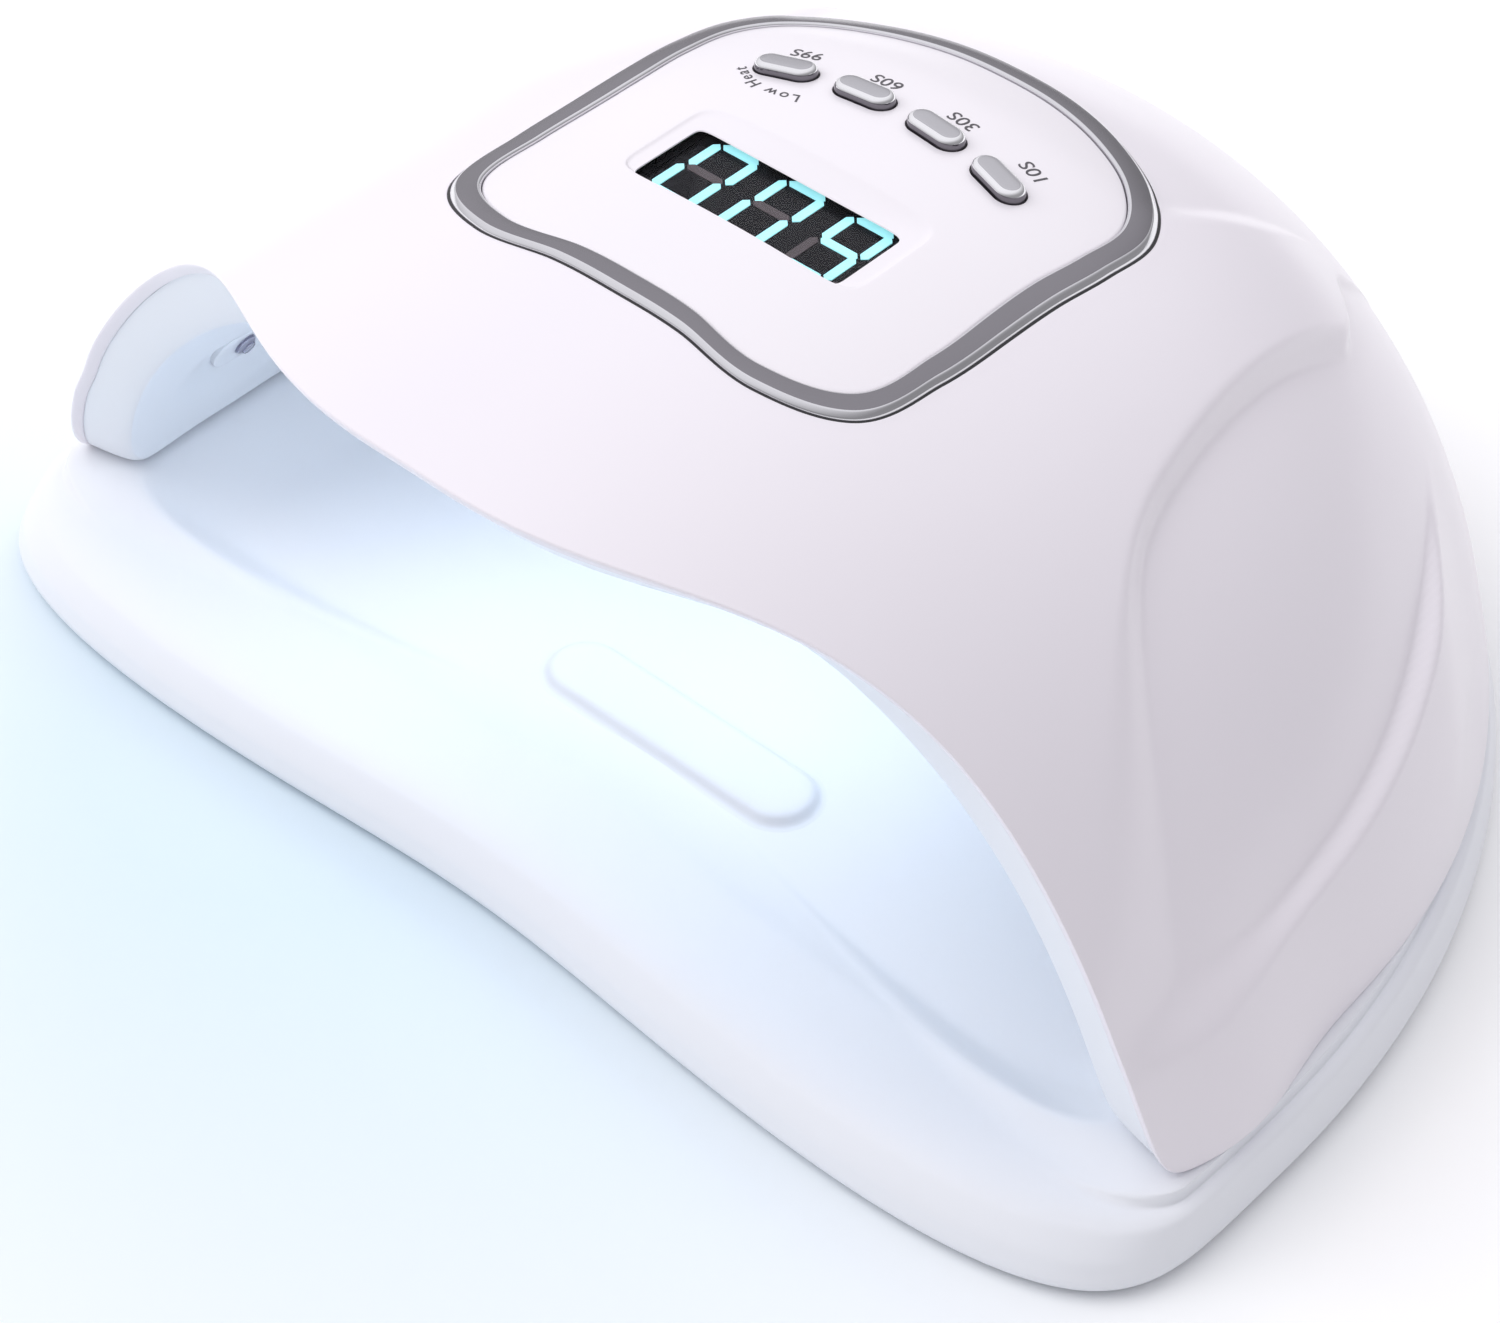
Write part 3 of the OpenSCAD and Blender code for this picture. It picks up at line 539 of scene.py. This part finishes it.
def panel_piece():
    a = np.linspace(0, 2 * np.pi, 480, endpoint=False)
    # outlines are matched by the angle seen from the middle of the display
    outer = ring_xy(a, RING_W)
    mouth_y = (-29.2, -9.3)
    seen = np.arctan2(outer[:, 1] - (mouth_y[0] + mouth_y[1]) / 2, outer[:, 0])
    mouth = box_outline(seen, 21.9, *mouth_y, 8)
    hole = box_outline(seen, 19.1, -28.8, -14.2, 16)

    def flat(xy, z):
        return np.column_stack([xy, np.full(len(xy), z)])

    rows = [under(ring_xy(a, RING_W + inset), depth) for inset, depth in ((0, 0.5), (0.08, 0.16), (0.26, 0.03))]
    rim = ring_xy(a, RING_W + 0.5)
    rows += [under(mix(rim, mouth, w), 0) for w in np.linspace(0, 0.985, 40)]
    roll = [under(mix(mouth, hole, w), d) for w, d in ((0.0, 0.03), (0.06, 0.10), (0.13, 0.24))]
    rows += roll
    low = flat(hole, WINDOW_Z + 0.2)
    rows += [mix(roll[-1], low, w) for w in (0.25, 0.5, 0.75, 0.94)]
    rows += [low]
    rows += [flat(mix(hole, mouth, w), WINDOW_Z + z) for w, z in ((-0.03, 0.06), (0.04, 0.03), (0.8, -0.6))]
    rows += [under(mix(rim, mouth, 0.5), 3), under(ring_xy(a, RING_W), 3)]
    piece = finish_mesh("panel_skin", loft(rows, closed=True), PANEL, "hood", ["control_panel"], 38)
    for key, place in BUTTONS.items():
        cutter = bpy.data.meshes.new("cutter")
        bm = loft(pill_rows(place, [(10.35, 5.35, -6), (10.35, 5.35, -0.3), (10.4, 5.4, -0.14),
                                    (10.6, 5.6, 0.02), (10.8, 5.8, 0.3), (10.8, 5.8, 2)]))
        bm.to_mesh(cutter)
        bm.free()
        tool = bpy.data.objects.new("cutter", cutter)
        scene.collection.objects.link(tool)
        cut = piece.modifiers.new("cut", "BOOLEAN")
        cut.operation = "DIFFERENCE"
        cut.solver = "MANIFOLD"
        cut.object = tool
        made = bpy.data.meshes.new_from_object(piece.evaluated_get(bpy.context.evaluated_depsgraph_get()))
        piece.modifiers.clear()
        piece.data = made
        bpy.data.objects.remove(tool)
    piece.data.shade_smooth()
    piece.data.set_sharp_from_angle(angle=math.radians(38))


panel_piece()


def mask_piece():
    """Black print round the edge of the window's underside."""
    a = np.linspace(0, 2 * np.pi, 160, endpoint=False)
    outer, inner = box_outline(a, 20.0, -30.0, -11.0, 30), box_outline(a, 18.5, -29.6, -11.4, 30)
    low, high = WINDOW_Z - 1.72, WINDOW_Z - 1.55
    corners = ((outer, low), (outer, high), (inner, high), (inner, low))
    rows = [np.column_stack([outline, np.full(len(a), z)]) for outline, z in corners]
    finish_mesh("window_mask", loft(rows, closed=True), FACE, "hood")


mask_piece()


# ---------------------------------------------------------------- push keys
def key_piece(key, place):
    length, width, shoulder = 9.9, 4.9, 0.5
    sizes = [(11.2, 6.2, -5.2), (11.2, 6.2, -4.3), (length, width, -4.2), (length, width, shoulder)]
    for t in np.radians(np.linspace(12, 84, 7)):
        inset = 0.95 * (1 - math.cos(t))
        sizes.append((length - 2 * inset, width - 2 * inset, shoulder + 1.15 * math.sin(t)))
    sizes += [(7.5, 2.5, 1.71), (6.7, 1.7, 1.74), (5.7, 0.7, 1.75)]
    rows = pill_rows(place, sizes)
    piece = finish_mesh("key_" + key, loft(rows), [KEY, KEY_SIDE_PAINTED_SHADE, KEY_BEVEL_PAINTED_HIGHLIGHT],
                        "button_" + key, ["button_" + key], 50)
    # the sides take the dark chrome (painted dark reflection) and the rounded shoulder the near-white chrome
    # (painted highlight)
    paint_rows(piece, len(rows[0]), 0, 5, 1)
    paint_rows(piece, len(rows[0]), 5, 10, 2)


for key, place in BUTTONS.items():
    key_piece(key, place)


# ---------------------------------------------------------------- tray
TRAY_Y, TRAY_DIP = -45.0, 4.3
HALF_W, BACK_L, FRONT_L = 117.5, 138.0, 43.5
# [inset at the sides, height there, inset at the front, height there]
SECTION = np.array([
    [30, 0.8, 30, 0.8], [4, 0.8, 4, 0.8], [1.6, 0.95, 1.6, 0.95], [0.5, 1.5, 0.6, 1.5], [0, 3, 0.2, 2.8],
    [0.15, 4.6, 0.8, 4.6], [0.4, 6.2, 1.6, 6.2], [1.3, 8.8, 3.8, 8.6], [2.1, 9.6, 5.2, 9.4], [3.0, 9.88, 6.9, 9.85],
    [3.6, 9.9, 9.5, 10], [3.75, 10.6, 11.3, 9.9], [3.9, 11.6, 13, 9.7], [4.6, 12, 16, 9.2], [10, 12, 20, 8.5],
    [16.2, 11.9, 24, 7.8], [18.5, 11.2, 26.5, 7.1], [21, 9.6, 29, 6.4], [25.5, 7, 32.5, 5.65], [30, 5.35, 36, 5.2],
    [36, 5, 40, 5]])


def tray_xy(a, d):
    front = np.sin(a) < 0
    n = np.where(front, 5.2, 2.05)
    w = HALF_W - d
    depth = np.where(front, FRONT_L, BACK_L) - d
    r = ((np.abs(np.cos(a)) / w) ** n + (np.abs(np.sin(a)) / depth) ** n) ** (-1 / n)
    x, y = r * np.cos(a), TRAY_Y + r * np.sin(a)
    dip = TRAY_DIP * -np.sin(a) * np.cos(np.radians(np.minimum(90, 0.95 * np.abs(x)))) ** 2
    return x, y + np.where(front, dip, 0)


def smooth_rows(table, steps):
    """Points of a smooth curve through the rows of a table."""
    out = []
    for i in range(len(table) - 1):
        four = table[max(0, i - 1)], table[i], table[i + 1], table[min(len(table) - 1, i + 2)]
        out += [cubic(*four, w) for w in np.arange(steps) / steps]
    return out + [table[-1]]


def tray_piece():
    corner = np.linspace(5, 32, 60)
    a = np.radians(np.concatenate([-180 + corner, np.linspace(-147, -33, 80), -corner[::-1],
                                   np.linspace(-4.5, 184.5, 240)]))
    w = ease(9, 17, -np.degrees(np.arcsin(np.sin(a))))
    rows = []
    for q in smooth_rows(SECTION, 4):
        x, y = tray_xy(a, mix(q[0], q[2], w))
        rows.append(np.column_stack([x, y, mix(q[1], q[3], w)]))
    rows += [mix(rows[-1], np.array([0, 0, 5.0]), w) for w in (0.3, 0.6, 0.85)]
    finish_mesh("tray_skin", loft(rows), TRAY, "base", ["base_tray"], 60)


tray_piece()


def bar_piece():
    """The raised finger bar moulded into the tray floor."""
    rows = []
    length, width, bar_y = 52, 12, -40.5
    for inset, z in ((-1.3, 4.6), (-1.3, 5.02), (-0.8, 5.06), (-0.35, 5.2), (0, 5.55), (0.3, 6.0),
                     (0.7, 6.35), (1.3, 6.55), (2.2, 6.62), (4.0, 6.65), (5.7, 6.66)):
        p = pill(length - 2 * inset, width - 2 * inset, 72)
        rows.append(np.column_stack([p[:, 0], p[:, 1] + bar_y, np.full(len(p), z)]))
    finish_mesh("finger_bar", loft(rows), TRAY, "base", (), 60)


bar_piece()


# ---------------------------------------------------------------- labels
def label(name, text, x, y, turn, size, bow=None):
    """Printed words laid on the panel; bow is the radius of an arched line of text."""
    curve = bpy.data.curves.new(name, "FONT")
    curve.body = text
    curve.size = size * MM
    curve.align_x = "CENTER"
    curve.align_y = "CENTER"
    curve.space_character = 1.3 if bow else 1.0
    curve.extrude = 0.00004
    curve.resolution_u = 6
    text_object = bpy.data.objects.new(name, curve)
    scene.collection.objects.link(text_object)
    bpy.context.view_layer.update()
    data = bpy.data.meshes.new_from_object(text_object.evaluated_get(bpy.context.evaluated_depsgraph_get()))
    bpy.data.objects.remove(text_object)
    bm = bmesh.new()
    bm.from_mesh(data)
    bmesh.ops.remove_doubles(bm, verts=bm.verts, dist=1e-7)
    c, s = math.cos(math.radians(turn)), math.sin(math.radians(turn))
    for v in bm.verts:
        if bow:
            far, along = bow * MM + v.co.y, v.co.x / (bow * MM)
            v.co.x, v.co.y = far * math.sin(along), far * math.cos(along) - bow * MM
        px, py = x + (v.co.x * c - v.co.y * s) / MM, y + (v.co.x * s + v.co.y * c) / MM
        v.co = Vector((px, py, under([px, py], 0)[2] + 0.03)) * MM + Vector((0, 0, v.co.z))
    finish_mesh(name, bm, INK, "hood", (), 30)


for key, (x, y, turn) in BUTTONS.items():
    out = 6.3 if abs(x) > 10 else 5.6
    label("label_" + key, key.upper(), x * 1.07, y + out, turn + 180, 3.5)
label("label_low_heat", "Low Heat", -19.7, -1.3, 172, 2.8, bow=12)


# ---------------------------------------------------------------- carried-over CAD nodes
LOOKS = {
    "rubber_feet": RUBBER, "tray_magnets": NICKEL, "hood_magnets": NICKEL, "display_window": WINDOW,
    "display_module": FACE, "segments_lit": CYAN, "segments_dark": DARK, "control_board": GREEN,
    "board_chips": BLACK, "board_standoffs": BRASS, "board_screws": STEEL, "switch_bodies": BLACK,
    "buzzer": BLACK, "led_board_top": ALBOARD, "top_standoffs": BRASS, "led_beads_top": LENS,
    "led_board_left": ALBOARD, "led_board_right": ALBOARD,
    "led_beads_left": LENS, "led_beads_right": LENS, "sensor_eye": SENSOR, "driver_board": GREEN,
    "driver_chokes": FERRITE, "driver_capacitors": SLEEVE, "driver_standoffs": BRASS, "dc_jack": BLACK,
    "dc_jack_pin": BRASS, "dc_jack_nut": STEEL, "screw_posts": WHITE, "liner_screws": STEEL,
    "ribbon_cable": VINYL, "inlet_wires": RED, "side_wires": PALE, "plunger_10s": CREAM,
    "plunger_30s": CREAM, "plunger_60s": CREAM, "plunger_99s": CREAM}
for name, material in LOOKS.items():
    data = nodes[name].data
    data.materials.clear()
    data.materials.append(material)
    data.shade_smooth()
    data.set_sharp_from_angle(angle=math.radians(35))


# ---------------------------------------------------------------- floor and light
def floor():
    n = Nodes("floor")
    # a painted pool of pale blue lamp light on the floor round the front of the lamp, fading out to the plain white
    # table
    painted_glow_spot = n.add("ShaderNodeMapping", {"Vector": n.place, "Location": (0.25, 0.42, 0), "Scale": (5.6, 5.6, 1)})
    glow = n.add("ShaderNodeTexGradient", {"Vector": painted_glow_spot.outputs["Vector"]}, gradient_type="SPHERICAL")
    table, edge, middle = (0.985, 0.985, 0.985), (0.88, 0.925, 0.96), (0.73, 0.835, 0.91)
    n.put(Base_Color=n.ramp(glow.outputs["Fac"], [(0.0, table), (0.32, edge), (0.8, middle)]),
          Roughness=n.span(n.noise(40, 2), 0.85, 0.95), Specular_IOR_Level=0.1)
    bm = bmesh.new()
    bmesh.ops.create_grid(bm, x_segments=8, y_segments=8, size=4)
    data = bpy.data.meshes.new("floor")
    bm.to_mesh(data)
    bm.free()
    data.materials.append(n.material)
    piece = bpy.data.objects.new("floor", data)
    scene.collection.objects.link(piece)


floor()

world = bpy.data.worlds.new("studio")
world.use_nodes = True
sky = world.node_tree
way = sky.nodes.new("ShaderNodeTexCoord")
tilt = sky.nodes.new("ShaderNodeMapping")
tilt.inputs["Rotation"].default_value = (0, 0.42, 0)
split = sky.nodes.new("ShaderNodeSeparateXYZ")
height = sky.nodes.new("ShaderNodeMapRange")
height.inputs["From Min"].default_value = -1
shade = sky.nodes.new("ShaderNodeValToRGB")
SKY = [(0.0, 0.36), (0.5, 0.32), (0.62, 0.50), (0.80, 0.88), (1.0, 0.98)]
marks = shade.color_ramp.elements
while len(marks) < len(SKY):
    marks.new(0.5)
for mark, (place, level) in zip(marks, SKY):
    mark.position = place
    mark.color = (level * 0.965, level * 0.955, level, 1)
sky.links.new(way.outputs["Generated"], tilt.inputs["Vector"])
sky.links.new(tilt.outputs["Vector"], split.inputs["Vector"])
sky.links.new(split.outputs["Z"], height.inputs["Value"])
sky.links.new(height.outputs["Result"], shade.inputs["Fac"])
sky.links.new(shade.outputs["Color"], sky.nodes["Background"].inputs["Color"])
scene.world = world
scene.view_settings.view_transform = "Standard"


def softbox(name, place, target, size, power, colour=(1, 1, 1)):
    """An area light that neither the camera nor glossy surfaces see."""
    data = bpy.data.lights.new(name, "AREA")
    data.shape = "RECTANGLE"
    data.size, data.size_y = size
    data.energy = power
    data.color = colour
    lamp = bpy.data.objects.new(name, data)
    lamp.location = place
    lamp.rotation_euler = (Vector(target) - Vector(place)).to_track_quat("-Z", "Y").to_euler()
    lamp.visible_camera = False
    lamp.visible_glossy = False
    scene.collection.objects.link(lamp)


softbox("key", (-0.75, -0.55, 1.15), (0, 0, 0.03), (1.2, 1.2), 8.5)
softbox("back", (-0.2, 1.1, 0.9), (0, 0, 0.06), (1.4, 0.6), 3.8)
# the lamps' own glow in the cavity
softbox("mouth", (0, -0.012, 0.048), (0, -0.055, 0), (0.08, 0.04), 0.028, (0.76, 0.89, 1.0))
softbox("mouth_left", (-0.042, -0.035, 0.048), (-0.085, -0.055, 0.01), (0.03, 0.03), 0.006, (0.80, 0.90, 1.0))

bpy.context.view_layer.update()
